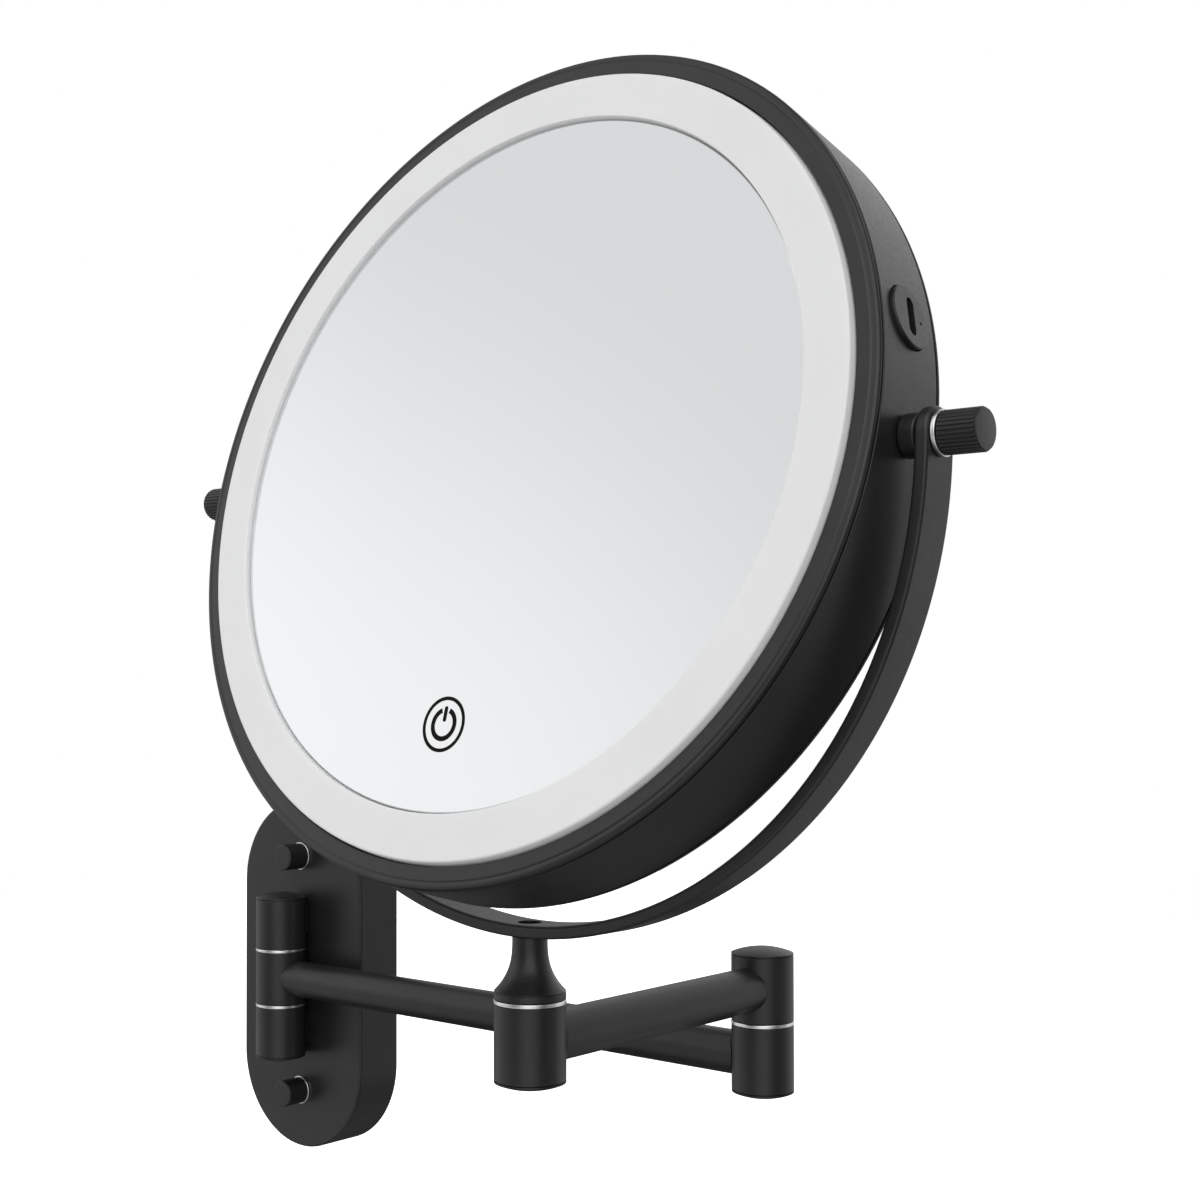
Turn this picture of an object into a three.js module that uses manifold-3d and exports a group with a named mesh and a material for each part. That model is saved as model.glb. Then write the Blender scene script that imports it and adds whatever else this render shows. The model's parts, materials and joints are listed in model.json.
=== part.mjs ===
// Extendable wall mirror: a stadium-shaped wall plate, two tubular arms joined by barrel hinges,
// and a round two-sided lighted mirror that tilts between the ends of a half-ring yoke.
// Millimetres, +Z up. The wall is the plane y = 0 and the mirror stands out from it towards -Y.
// The origin is the centre of the wall bracket's back face.

import * as THREE from "three";
import { mergeVertices } from "three/addons/utils/BufferGeometryUtils.js";
import Module from "manifold-3d";

const wasm = await Module();
wasm.setup();

// ---------------------------------------------------------------- driving dimensions

const GAP = 0.1; // axial clearance between stacked turned pieces
const FIT = 0.25; // clearance between a piece and the hole or seat that holds it
const PAST = 1; // how far a cutting tool stands past the surface that it opens

// Wall plate and the bracket behind it
const PLATE = { halfWidth: 32.2, halfHeight: 63.7, depth: 18, wall: 2.5, face: 3, edge: 0.8 };
const BRACKET = { inset: 5, thickness: 2, screwZ: 25, screwRadius: 2.6 };
const STUD = { z: 43, radius: 2.4, flangeRadius: 4, flange: 1, length: 22 };
const CAP_NUT = { radius: 4.7, length: 8.3, bore: 5.5, chamfer: 0.4 };
const CAP_WASHER = { radius: 5.05, thickness: 0.7 };

// Barrel hinges: knuckles stacked on a pitch, with a bright ring between each two
const BARREL = { radius: 9, pitch: 20, height: 18.8, fixedHeight: 17.7, bore: 4.7, out: 27.6 };
const RING = { radius: 9.05, thickness: 1 };
const BUSH = { inner: 3.25, outer: 4.5 };
const PIN = { radius: 3, endInset: 2.6, belowScrew: 2 };
const DOME = { rise: 1.8, band: 0.4, plug: 2 };
const FOOT = { width: 8, height: 15, screwRadius: 1.9, screwDepth: 4 };
const SCREW = { headRadius: 3.6, head: 2 };

// Arms: headings are turned from +X, positive towards the wall
const TUBE = { radius: 6.35, wall: 1.2 };
const ARM_1 = { length: 210.4, heading: 0.8 };
const ARM_2 = { length: 101.3, heading: -89.5 };

// Yoke: a post on the hub hinge and a half ring round the mirror
const POST = { baseRadius: 9, band: 2, topRadius: 4.4, flarePower: 3 };
const YOKE = { pivotHeight: 160.3, inner: 111, outer: 114.2, width: 11.5, edge: 0.6 };
const YOKE_SCREW = { holeRadius: 3.05, headRadius: 2.7, head: 2.6, sink: 3, shank: 1.9, socket: 1.4 };

// Mirror head: radii from the head's axis, heights along it, positive towards the lighted face
const TILT = 15; // degrees that the lighted face looks up
const HEAD = { radius: 106.2, wall: 2.2, halfSide: 11.1, halfDepth: 13.2, edge: 1.35 };
const BEZEL = { inner: 100.7, spigotOuter: 103.75, spigotInner: 101.6, spigotEnd: 5.5 };
const LIGHT = { inner: 88.7, outer: 100.45, top: 14.75, foot: 11.6, skirt: 1.1, roof: 1.7, edge: 0.8 };
const MIRROR = { radius: 88.3, top: 13.3, thickness: 1.9 };
const CARRIER = { radius: 100.3, top: 11.3, thickness: 1.8, sensorHole: 9.2 };
const LED_BOARD = { inner: 90.6, outer: 98.4, thickness: 0.8, count: 24, led: [3.4, 2.6, 0.5] };
const REAR = { bezelInner: 97.6, glassRadius: 100.6, rim: -11.6, glass: 1.8, sphere: 900 };
const CHASSIS = { radius: 103.6, top: 0, thickness: 2, notch: 5, windows: 6, windowRadius: 14, windowRing: 76 };
const BATTERY = { size: [66, 38, 8], at: [0, 22], edge: 3 };
const BOARD = { size: [60, 26, 1.6], at: [0, -22], lift: 3, legRadius: 1.8, legInset: 4 };
const CHIPS = [
  { at: [-16, 0], size: 8 },
  { at: [2, 3], size: 6 },
  { at: [16, -2], size: 5 },
]; // on the control board, from its middle
const CHIP_HEIGHT = 1.5;
const SENSOR = { below: 67.5, radius: 8.6, thickness: 0.8 };
const PORT = { angle: 14.9, axial: 0.15, radius: 7.3, raised: 0.9, edge: 0.4 };
const LAMP = { offset: 4.1, radius: 0.4 }; // pinhole of the charge lamp, beside the slot
const USB = { slot: [9.2, 2.8], shell: 0.5, depth: 7, back: 1, tongue: [6.2, 0.7] };

// Pivots at the two ends of the yoke
const PIVOT = { studRadius: 2.5, flangeRadius: 5, flange: 2, studEnd: 121, spacerRadius: 4.8 };
const KNOB = { radius: 4.7, start: 115.55, end: 124.5, ridges: 30, groove: 0.32, plainEnd: 0.5, bore: 6.2 };
const KNOB_WASHER = { radius: 5, start: 114.4, end: 115.4 };

const ROUND = { big: 60, inside: 36, small: 20, tiny: 10 }; // sides of round pieces

// ---------------------------------------------------------------- materials

const finish = (color, roughness, metalness) => ({ color, roughness, metalness });
const BLACK = finish(0x2b2b2d, 0.55, 0.3);
const SILVER = finish(0xd8dadd, 0.2, 1);
const STEEL = finish(0x9b9ea3, 0.4, 1);
const GLASS = finish(0xdfe5e8, 0.03, 1);
const DIFFUSER = finish(0xf4f5f6, 0.5, 0);
const WHITE_PLASTIC = finish(0xe6e6e2, 0.6, 0);
const CIRCUIT = finish(0x1f5a3a, 0.5, 0.1);
const CELL = finish(0x3b5f8a, 0.5, 0.1);
const NYLON = finish(0xcfcabc, 0.6, 0);

// ---------------------------------------------------------------- solids

// A closed three.js geometry as a solid that can be joined and cut.
function solid(geometry) {
  const bare = new THREE.BufferGeometry();
  bare.setAttribute("position", geometry.getAttribute("position"));
  if (geometry.index) bare.setIndex(geometry.index);
  const merged = mergeVertices(bare, 1e-4);
  const mesh = new wasm.Mesh({
    numProp: 3,
    vertProperties: merged.attributes.position.array,
    triVerts: new Uint32Array(merged.index.array),
  });
  return new wasm.Manifold(mesh);
}

// The solid's geometry for a three.js mesh, with flat faces.
function geometryOf(made) {
  const mesh = made.getMesh();
  const geometry = new THREE.BufferGeometry();
  geometry.setAttribute("position", new THREE.BufferAttribute(new Float32Array(mesh.vertProperties), 3));
  geometry.setIndex(new THREE.BufferAttribute(new Uint32Array(mesh.triVerts), 1));
  const flat = geometry.toNonIndexed();
  flat.computeVertexNormals();
  return flat;
}

function cut(body, ...tools) {
  return tools.reduce((rest, tool) => rest.subtract(tool), body);
}

function join(body, ...others) {
  return others.reduce((whole, other) => whole.add(other), body);
}

// A profile of [radius, height] points turned about +Z. An open profile starts and ends on the axis.
function turned(profile, sides = ROUND.small) {
  const closed = profile[0][0] > 0;
  const loop = closed ? [...profile, profile[0]] : profile;
  const area = loop.reduce((sum, [r, z], i) => {
    const [nextR, nextZ] = loop[(i + 1) % loop.length];
    return sum + r * nextZ - nextR * z;
  }, 0);
  const points = loop.map(([r, z]) => new THREE.Vector2(r, z));
  if (area < 0) points.reverse();
  return new THREE.LatheGeometry(points, sides).rotateX(Math.PI / 2);
}

// A plain disc or ring about +Z between two heights.
function ring(inner, outer, low, high, sides = ROUND.small) {
  const hollow = [[inner, low], [outer, low], [outer, high], [inner, high]];
  const full = [[0, low], [outer, low], [outer, high], [0, high]];
  return turned(inner > 0 ? hollow : full, sides);
}

function block([x, y, z], [cx, cy, cz]) {
  return new THREE.BoxGeometry(x, y, z).translate(cx, cy, cz);
}

// Points of a quarter round from one tangent point to the other, about its centre.
function quarter(centreR, centreZ, radius, fromDegrees, steps = 2) {
  return Array.from({ length: steps + 1 }, (_, i) => {
    const a = THREE.MathUtils.degToRad(fromDegrees + (90 * i) / steps);
    return [centreR + radius * Math.cos(a), centreZ + radius * Math.sin(a)];
  });
}

// A stadium outline standing on its end, in X and Y of the shape.
function stadium(halfWidth, halfHeight) {
  const straight = halfHeight - halfWidth;
  const shape = new THREE.Shape();
  shape.absarc(0, straight, halfWidth, 0, Math.PI);
  shape.absarc(0, -straight, halfWidth, Math.PI, 2 * Math.PI);
  shape.closePath();
  return shape;
}

// A stadium prism from depth `near` to depth `far` in front of the wall.
function stadiumPrism(halfWidth, halfHeight, near, far, bevel = 0) {
  const geometry = new THREE.ExtrudeGeometry(stadium(halfWidth - bevel, halfHeight - bevel), {
    depth: far - near - bevel,
    curveSegments: 14,
    bevelEnabled: bevel > 0,
    bevelSize: bevel,
    bevelThickness: bevel,
    bevelSegments: 1,
  });
  return geometry.rotateX(Math.PI / 2).translate(0, -near, 0);
}

// Turns a piece made about +Z so that it points along -Y, out of the wall.
const outOfWall = (geometry) => geometry.rotateX(Math.PI / 2);

// Turns a piece made about +Z so that it points along +X.
const alongX = (geometry) => geometry.rotateY(Math.PI / 2);

function addMesh(parent, name, geometry, look) {
  const material = new THREE.MeshStandardMaterial(look);
  const mesh = new THREE.Mesh(geometry, material);
  mesh.name = name;
  parent.add(mesh);
  return mesh;
}

function addGroup(parent, x, y, z, headingDegrees = 0) {
  const group = new THREE.Group();
  group.position.set(x, y, z);
  group.rotation.z = THREE.MathUtils.degToRad(headingDegrees);
  parent.add(group);
  return group;
}

// ---------------------------------------------------------------- wall plate and fixings

const HEIGHT_SIDES = [["upper", 1], ["lower", -1]];

function wallPlate() {
  const hollow = stadiumPrism(
    PLATE.halfWidth - PLATE.wall,
    PLATE.halfHeight - PLATE.wall,
    -PAST,
    PLATE.depth - PLATE.face,
  );
  // The prism's bevel is on both ends, so its wall end starts behind the wall and is cut off flat.
  const cover = stadiumPrism(
    PLATE.halfWidth,
    PLATE.halfHeight,
    -2 * PLATE.edge,
    PLATE.depth,
    PLATE.edge,
  );
  const room = 2 * (PLATE.halfHeight + PAST);
  const wall = block([room, PLATE.depth, room], [0, PLATE.depth / 2, 0]);
  const faceHole = (radius) =>
    outOfWall(ring(0, radius + FIT, PLATE.depth - PLATE.face - PAST, PLATE.depth + PAST, ROUND.tiny));
  const holes = HEIGHT_SIDES.flatMap(([, side]) => [
    faceHole(STUD.radius).translate(0, 0, side * STUD.z),
    faceHole(FOOT.screwRadius).translate(0, 0, side * BARREL.pitch),
  ]);
  return geometryOf(cut(solid(cover), solid(hollow), solid(wall), ...holes.map(solid)));
}

function wallBracket() {
  const plate = stadiumPrism(
    PLATE.halfWidth - BRACKET.inset,
    PLATE.halfHeight - BRACKET.inset,
    0,
    BRACKET.thickness,
  );
  const holes = HEIGHT_SIDES.map(([, side]) =>
    outOfWall(ring(0, BRACKET.screwRadius, -PAST, BRACKET.thickness + PAST, ROUND.tiny))
      .translate(0, 0, side * BRACKET.screwZ),
  );
  return geometryOf(cut(solid(plate), ...holes.map(solid)));
}

// Stud with a flange that stands on the bracket.
function bracketStud() {
  const start = BRACKET.thickness + GAP;
  const shoulder = start + STUD.flange;
  return outOfWall(
    turned(
      [
        [0, start],
        [STUD.flangeRadius, start],
        [STUD.flangeRadius, shoulder],
        [STUD.radius, shoulder],
        [STUD.radius, start + STUD.length],
        [0, start + STUD.length],
      ],
      ROUND.tiny,
    ),
  );
}

function capWasher() {
  const start = PLATE.depth + GAP;
  return outOfWall(ring(STUD.radius + FIT, CAP_WASHER.radius, start, start + CAP_WASHER.thickness));
}

function capNut() {
  const start = PLATE.depth + 2 * GAP + CAP_WASHER.thickness;
  const end = start + CAP_NUT.length;
  const bore = STUD.radius + FIT;
  return outOfWall(
    turned([
      [0, start + CAP_NUT.bore],
      [bore, start + CAP_NUT.bore],
      [bore, start],
      [CAP_NUT.radius, start],
      [CAP_NUT.radius, end - CAP_NUT.chamfer],
      [CAP_NUT.radius - CAP_NUT.chamfer, end],
      [0, end],
    ]),
  );
}

// Screw from inside the cover into the foot of a fixed knuckle.
function knuckleScrew() {
  const under = PLATE.depth - PLATE.face - GAP;
  const tip = PLATE.depth + FOOT.screwDepth - GAP;
  return outOfWall(
    turned(
      [
        [0, under - SCREW.head],
        [SCREW.headRadius, under - SCREW.head],
        [SCREW.headRadius, under],
        [FOOT.screwRadius, under],
        [FOOT.screwRadius, tip],
        [0, tip],
      ],
      ROUND.tiny,
    ),
  );
}

// ---------------------------------------------------------------- barrel hinges

const PIN_BORE = PIN.radius + FIT;
const levelTop = (level) => level * BARREL.pitch + BARREL.height / 2;
const levelBottom = (level) => level * BARREL.pitch - BARREL.height / 2;

const FIXED_INNER = levelBottom(1);
const FIXED_OUTER = FIXED_INNER + BARREL.fixedHeight;

// A knuckle of a barrel hinge, about its own axis.
function knuckle(level, bore) {
  return ring(bore, BARREL.radius, levelBottom(level), levelTop(level));
}

// A fixed knuckle with the foot that meets the wall plate, in the wall hinge's frame.
// `side` is 1 above the turning knuckle and -1 below it.
function fixedKnuckle(side) {
  const reach = BARREL.out - PLATE.depth - FIT;
  const middle = side * BARREL.pitch;
  const [low, high] = [side * FIXED_INNER, side * FIXED_OUTER].sort((a, b) => a - b);
  const foot = block([FOOT.width, reach, FOOT.height], [0, reach / 2, middle]);
  const barrel = ring(0, BARREL.radius, low, high);
  const bore = ring(0, PIN_BORE, low - PAST, high + PAST);
  const screwHole = outOfWall(
    ring(0, FOOT.screwRadius + FIT, -FOOT.screwDepth, FOOT.screwDepth, ROUND.tiny),
  ).translate(0, BARREL.out - PLATE.depth, middle);
  return geometryOf(cut(join(solid(barrel), solid(foot)), solid(bore), solid(screwHole)));
}

// Bright ring between two knuckles, centred at a height.
function hingeRing(height) {
  return ring(PIN_BORE, RING.radius, height - RING.thickness / 2, height + RING.thickness / 2);
}

// Nylon sleeve in a turning knuckle. It stops short of the knuckle's capped end.
function bush(level, cappedEnd) {
  const room = DOME.plug + 2 * GAP;
  const low = levelBottom(level) + (cappedEnd === "bottom" ? room : GAP);
  const high = levelTop(level) - (cappedEnd === "top" ? room : GAP);
  return ring(BUSH.inner, BUSH.outer, low, high);
}

// Domed cap with a plug that goes into the knuckle's bore. It points up before it is placed.
function domedCap(bore) {
  const sphere = (BARREL.radius ** 2 + DOME.rise ** 2) / (2 * DOME.rise);
  const steps = 4;
  const dome = Array.from({ length: steps + 1 }, (_, i) => {
    const r = BARREL.radius * (1 - i / steps);
    return [r, DOME.band + Math.sqrt(sphere ** 2 - r ** 2) - (sphere - DOME.rise)];
  });
  const plug = bore - FIT;
  return turned([[0, -DOME.plug], [plug, -DOME.plug], [plug, 0], [BARREL.radius, 0], ...dome]);
}

const capAbove = (top, bore) => domedCap(bore).translate(0, 0, top + GAP);
const capBelow = (bottom, bore) => domedCap(bore).rotateX(Math.PI).translate(0, 0, bottom - GAP);

function hingePin(low, high) {
  return ring(0, PIN.radius, low, high);
}

// Tube between two barrels whose ends are hollowed to fit round them.
function armTube(length, level) {
  const height = level * BARREL.pitch;
  const outer = alongX(ring(0, TUBE.radius, 0, length)).translate(0, 0, height);
  const inner = alongX(ring(0, TUBE.radius - TUBE.wall, -PAST, length + PAST)).translate(0, 0, height);
  const saddles = [0, length].map((x) =>
    ring(0, BARREL.radius + FIT, levelBottom(level), levelTop(level)).translate(x, 0, 0),
  );
  return geometryOf(cut(solid(outer), solid(inner), ...saddles.map(solid)));
}

// ---------------------------------------------------------------- yoke

const POST_BOTTOM = levelTop(1) + 2 * GAP + RING.thickness;
const POST_TOP = YOKE.pivotHeight - YOKE.outer - GAP;
const SCREW_SEAT = POST_TOP - YOKE_SCREW.sink - YOKE_SCREW.head;
const PIN_TOP = SCREW_SEAT - PIN.belowScrew;

// Trumpet-shaped post: a short band that flares in to a slim neck under the half ring.
function yokePost() {
  const flareStart = POST_BOTTOM + POST.band;
  const steps = 6;
  const flare = Array.from({ length: steps + 1 }, (_, i) => {
    const t = i / steps;
    const spread = (POST.baseRadius - POST.topRadius) * (1 - t) ** POST.flarePower;
    return [POST.topRadius + spread, flareStart + (POST_TOP - flareStart) * t];
  });
  const shankBore = YOKE_SCREW.shank + FIT;
  return turned([
    [PIN_BORE, POST_BOTTOM],
    [POST.baseRadius, POST_BOTTOM],
    ...flare,
    [YOKE_SCREW.holeRadius, POST_TOP],
    [YOKE_SCREW.holeRadius, SCREW_SEAT],
    [shankBore, SCREW_SEAT],
    [shankBore, PIN_TOP + GAP],
    [PIN_BORE, PIN_TOP + GAP],
  ]);
}

// Hub pin with a threaded hole in its top for the yoke's screw.
function hubPin() {
  const hole = YOKE_SCREW.shank + FIT;
  return turned([
    [0, levelBottom(1) + PIN.endInset],
    [PIN.radius, levelBottom(1) + PIN.endInset],
    [PIN.radius, PIN_TOP],
    [hole, PIN_TOP],
    [hole, POST_BOTTOM],
    [0, POST_BOTTOM],
  ]);
}

function yokeScrew() {
  const tip = POST_BOTTOM + FIT;
  const seat = SCREW_SEAT + GAP;
  const top = seat + YOKE_SCREW.head;
  const body = turned(
    [
      [0, tip],
      [YOKE_SCREW.shank, tip],
      [YOKE_SCREW.shank, seat],
      [YOKE_SCREW.headRadius, seat],
      [YOKE_SCREW.headRadius, top],
      [0, top],
    ],
    ROUND.tiny,
  );
  const hexagon = 6;
  const socket = ring(0, YOKE_SCREW.socket, top - YOKE_SCREW.head / 2, top + PAST, hexagon);
  return geometryOf(cut(solid(body), solid(socket)));
}

// Profile of a flat band with rounded edges, from one radius and height to another.
function bandProfile(inner, outer, low, high, edge) {
  return [
    ...quarter(inner + edge, low + edge, edge, 180, 1),
    ...quarter(outer - edge, low + edge, edge, 270, 1),
    ...quarter(outer - edge, high - edge, edge, 0, 1),
    ...quarter(inner + edge, high - edge, edge, 90, 1),
  ];
}

const SIDES = [["right", 0], ["left", Math.PI]];

// Half ring about the pivot line, with a round pad at each end. Its centre is the origin.
function yokeArch() {
  const half = YOKE.width / 2;
  const band = turned(bandProfile(YOKE.inner, YOKE.outer, -half, half, YOKE.edge), ROUND.big);
  const room = 2 * (YOKE.outer + PAST);
  const upperHalf = block([room, room, room], [0, 0, room / 2]);
  const arch = cut(solid(outOfWall(band)), solid(upperHalf));
  const padProfile = [
    [0, YOKE.inner],
    ...quarter(half - YOKE.edge, YOKE.inner + YOKE.edge, YOKE.edge, 270, 1),
    ...quarter(half - YOKE.edge, YOKE.outer - YOKE.edge, YOKE.edge, 0, 1),
    [0, YOKE.outer],
  ];
  const pads = SIDES.map(([, turn]) => alongX(turned(padProfile)).rotateZ(turn));
  const pivotHole = alongX(
    ring(0, PIVOT.studRadius + FIT, -YOKE.outer - PAST, YOKE.outer + PAST, ROUND.tiny),
  );
  const screwHole = ring(0, YOKE_SCREW.holeRadius, -YOKE.outer - PAST, PAST - YOKE.inner);
  return geometryOf(cut(join(arch, ...pads.map(solid)), solid(pivotHole), solid(screwHole)));
}

// ---------------------------------------------------------------- mirror head

const PORT_FLOOR = HEAD.radius - HEAD.wall - GAP; // inner face of the charging port's cover

// Moves a piece made about +Z onto the radius at the charging port's angle, pointing outwards.
function atPort(geometry) {
  return alongX(geometry)
    .translate(0, 0, PORT.axial)
    .rotateZ(THREE.MathUtils.degToRad(PORT.angle));
}

function drumShell() {
  const shell = ring(HEAD.radius - HEAD.wall, HEAD.radius, -HEAD.halfSide, HEAD.halfSide, ROUND.big);
  const pivotHole = alongX(
    ring(0, PIVOT.studRadius + FIT, -HEAD.radius - PAST, HEAD.radius + PAST, ROUND.tiny),
  );
  const portHole = atPort(ring(0, PORT.radius + FIT, PORT_FLOOR - PAST, HEAD.radius + PAST));
  return geometryOf(cut(solid(shell), solid(pivotHole), solid(portHole)));
}

// Bezel of the lighted face: a flat flange with a rounded rim, and a spigot inside the drum.
// `inner` is the flange's inner radius. The rear bezel is the same shape turned over.
function bezel(inner) {
  const under = HEAD.halfDepth - HEAD.edge;
  const step = HEAD.radius - HEAD.edge / 2;
  const spigotTop = HEAD.halfSide + GAP;
  return turned(
    [
      [inner, under],
      [BEZEL.spigotInner, under],
      [BEZEL.spigotInner, BEZEL.spigotEnd],
      [BEZEL.spigotOuter, BEZEL.spigotEnd],
      [BEZEL.spigotOuter, spigotTop],
      [step, spigotTop],
      [step, under],
      ...quarter(HEAD.radius - HEAD.edge, under, HEAD.edge, 0),
      [inner, HEAD.halfDepth],
    ],
    ROUND.big,
  );
}

// Frosted light ring: a channel over the lamps that stands proud of the bezel.
function lightRing() {
  const roofUnder = LIGHT.top - LIGHT.roof;
  return turned(
    [
      [LIGHT.inner, LIGHT.foot],
      [LIGHT.inner + LIGHT.skirt, LIGHT.foot],
      [LIGHT.inner + LIGHT.skirt, roofUnder],
      [LIGHT.outer - LIGHT.skirt, roofUnder],
      [LIGHT.outer - LIGHT.skirt, LIGHT.foot],
      [LIGHT.outer, LIGHT.foot],
      ...quarter(LIGHT.outer - LIGHT.edge, LIGHT.top - LIGHT.edge, LIGHT.edge, 0),
      [LIGHT.inner, LIGHT.top],
    ],
    ROUND.big,
  );
}

function frontMirror() {
  return ring(0, MIRROR.radius, MIRROR.top - MIRROR.thickness, MIRROR.top, ROUND.big);
}

// Disc that carries the mirror and the lamps, with a hole for the touch sensor.
function carrierPlate() {
  const low = CARRIER.top - CARRIER.thickness;
  const disc = ring(0, CARRIER.radius, low, CARRIER.top, ROUND.inside);
  const hole = ring(0, CARRIER.sensorHole, low - PAST, CARRIER.top + PAST)
    .translate(0, -SENSOR.below, 0);
  return geometryOf(cut(solid(disc), solid(hole)));
}

function ledBoard() {
  const low = CARRIER.top + GAP;
  const high = low + LED_BOARD.thickness;
  const board = ring(LED_BOARD.inner, LED_BOARD.outer, low, high, ROUND.inside);
  const middle = (LED_BOARD.inner + LED_BOARD.outer) / 2;
  const [width, depth, height] = LED_BOARD.led;
  const leds = Array.from({ length: LED_BOARD.count }, (_, i) =>
    block([width, depth, 2 * height], [middle, 0, high])
      .rotateZ((i * 2 * Math.PI) / LED_BOARD.count),
  );
  return geometryOf(join(solid(board), ...leds.map(solid)));
}

function touchSensor() {
  const top = MIRROR.top - MIRROR.thickness - GAP;
  return ring(0, SENSOR.radius, top - SENSOR.thickness, top).translate(0, -SENSOR.below, 0);
}

// Dished magnifying glass behind the rear bezel, hollow side outwards.
function rearMirror() {
  const dish = (r) => REAR.rim + (REAR.glassRadius ** 2 - r ** 2) / (2 * REAR.sphere);
  const steps = 4;
  const radii = Array.from({ length: steps + 1 }, (_, i) => (REAR.glassRadius * i) / steps);
  const outside = radii.map((r) => [r, dish(r)]);
  const inside = radii.map((r) => [r, dish(r) + REAR.glass]).reverse();
  return turned([...outside, ...inside], ROUND.big);
}

// Plate across the middle of the drum that carries the battery and the control board.
function chassisPlate() {
  const low = CHASSIS.top - CHASSIS.thickness;
  const disc = ring(0, CHASSIS.radius, low, CHASSIS.top, ROUND.inside);
  const windows = Array.from({ length: CHASSIS.windows }, (_, i) =>
    ring(0, CHASSIS.windowRadius, low - PAST, CHASSIS.top + PAST, ROUND.tiny)
      .translate(CHASSIS.windowRing, 0, 0)
      .rotateZ(((i + 0.5) * 2 * Math.PI) / CHASSIS.windows),
  );
  const pivotNotches = SIDES.map(([, turn]) =>
    block([2 * CHASSIS.notch, 2 * (PIVOT.flangeRadius + PAST), 2 * CHASSIS.notch], [HEAD.radius, 0, 0])
      .rotateZ(turn),
  );
  const portNotch = atPort(
    block([2 * CHASSIS.notch, USB.slot[0] + 4 * PAST, 2 * (USB.depth + CHASSIS.notch)], [0, 0, HEAD.radius]),
  );
  return geometryOf(cut(solid(disc), ...[...windows, ...pivotNotches, portNotch].map(solid)));
}

function batteryPack() {
  const [width, height, depth] = BATTERY.size;
  const shape = new THREE.Shape();
  const [x, y] = BATTERY.at;
  const corners = [[1, 1, 0], [-1, 1, 90], [-1, -1, 180], [1, -1, 270]];
  corners.forEach(([sideX, sideY, from]) => {
    const start = THREE.MathUtils.degToRad(from);
    const centreX = x + sideX * (width / 2 - BATTERY.edge);
    const centreY = y + sideY * (height / 2 - BATTERY.edge);
    shape.absarc(centreX, centreY, BATTERY.edge, start, start + Math.PI / 2);
  });
  return new THREE.ExtrudeGeometry(shape, { depth, bevelEnabled: false, curveSegments: 4 })
    .translate(0, 0, CHASSIS.top + GAP);
}

// Control board on four legs, with its chips.
function controlBoard() {
  const [width, height, thickness] = BOARD.size;
  const [x, y] = BOARD.at;
  const foot = CHASSIS.top + GAP;
  const level = foot + BOARD.lift;
  const plate = block([width, height, thickness], [x, y, level + thickness / 2]);
  const legs = [[1, 1], [-1, 1], [-1, -1], [1, -1]].map(([sideX, sideY]) =>
    ring(0, BOARD.legRadius, foot, level + thickness / 2, ROUND.tiny)
      .translate(x + sideX * (width / 2 - BOARD.legInset), y + sideY * (height / 2 - BOARD.legInset), 0),
  );
  const chips = CHIPS.map(({ at: [dx, dy], size }) =>
    block([size, size, 2 * CHIP_HEIGHT], [x + dx, y + dy, level + thickness]),
  );
  return geometryOf(join(solid(plate), ...[...legs, ...chips].map(solid)));
}

// Round cover of the charging port: it stands a little out of the drum, and has the socket's slot
// and the lamp's pinhole.
function usbPlate() {
  const [slotWidth, slotHeight] = USB.slot;
  const face = HEAD.radius + PORT.raised;
  const disc = turned([
    [0, PORT_FLOOR],
    [PORT.radius, PORT_FLOOR],
    ...quarter(PORT.radius - PORT.edge, face - PORT.edge, PORT.edge, 0),
    [0, face],
  ]);
  const through = 2 * (HEAD.radius - PORT_FLOOR + PAST);
  const slot = block([slotHeight, slotWidth, through], [0, 0, HEAD.radius]);
  const pinhole = ring(0, LAMP.radius, PORT_FLOOR - PAST, face + PAST, ROUND.tiny)
    .translate(LAMP.offset, 0, 0);
  return geometryOf(cut(solid(atPort(disc)), solid(atPort(slot)), solid(atPort(pinhole))));
}

// Metal shell of the charging socket, open outwards, with the contact tongue in it.
function usbSocket() {
  const [slotWidth, slotHeight] = USB.slot;
  const [tongueWidth, tongueHeight] = USB.tongue;
  const middle = PORT_FLOOR - FIT - USB.depth / 2;
  const outer = block(
    [slotHeight + 2 * USB.shell, slotWidth + 2 * USB.shell, USB.depth],
    [0, 0, middle],
  );
  const pocket = block([slotHeight, slotWidth, USB.depth], [0, 0, middle + USB.back]);
  const tongue = block([tongueHeight, tongueWidth, USB.depth - USB.back], [0, 0, middle - USB.back / 2]);
  return geometryOf(join(cut(solid(atPort(outer)), solid(atPort(pocket))), solid(atPort(tongue))));
}

// ---------------------------------------------------------------- pivots

function pivotStud() {
  const inside = HEAD.radius - HEAD.wall - FIT;
  return alongX(
    turned(
      [
        [0, inside - PIVOT.flange],
        [PIVOT.flangeRadius, inside - PIVOT.flange],
        [PIVOT.flangeRadius, inside - FIT],
        [PIVOT.studRadius, inside - FIT],
        [PIVOT.studRadius, PIVOT.studEnd],
        [0, PIVOT.studEnd],
      ],
      ROUND.tiny,
    ),
  );
}

function pivotSpacer() {
  return alongX(
    ring(PIVOT.studRadius + FIT, PIVOT.spacerRadius, HEAD.radius + FIT, YOKE.inner - 2 * FIT),
  );
}

function knobWasher() {
  return alongX(ring(PIVOT.studRadius + FIT, KNOB_WASHER.radius, KNOB_WASHER.start, KNOB_WASHER.end));
}

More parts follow.
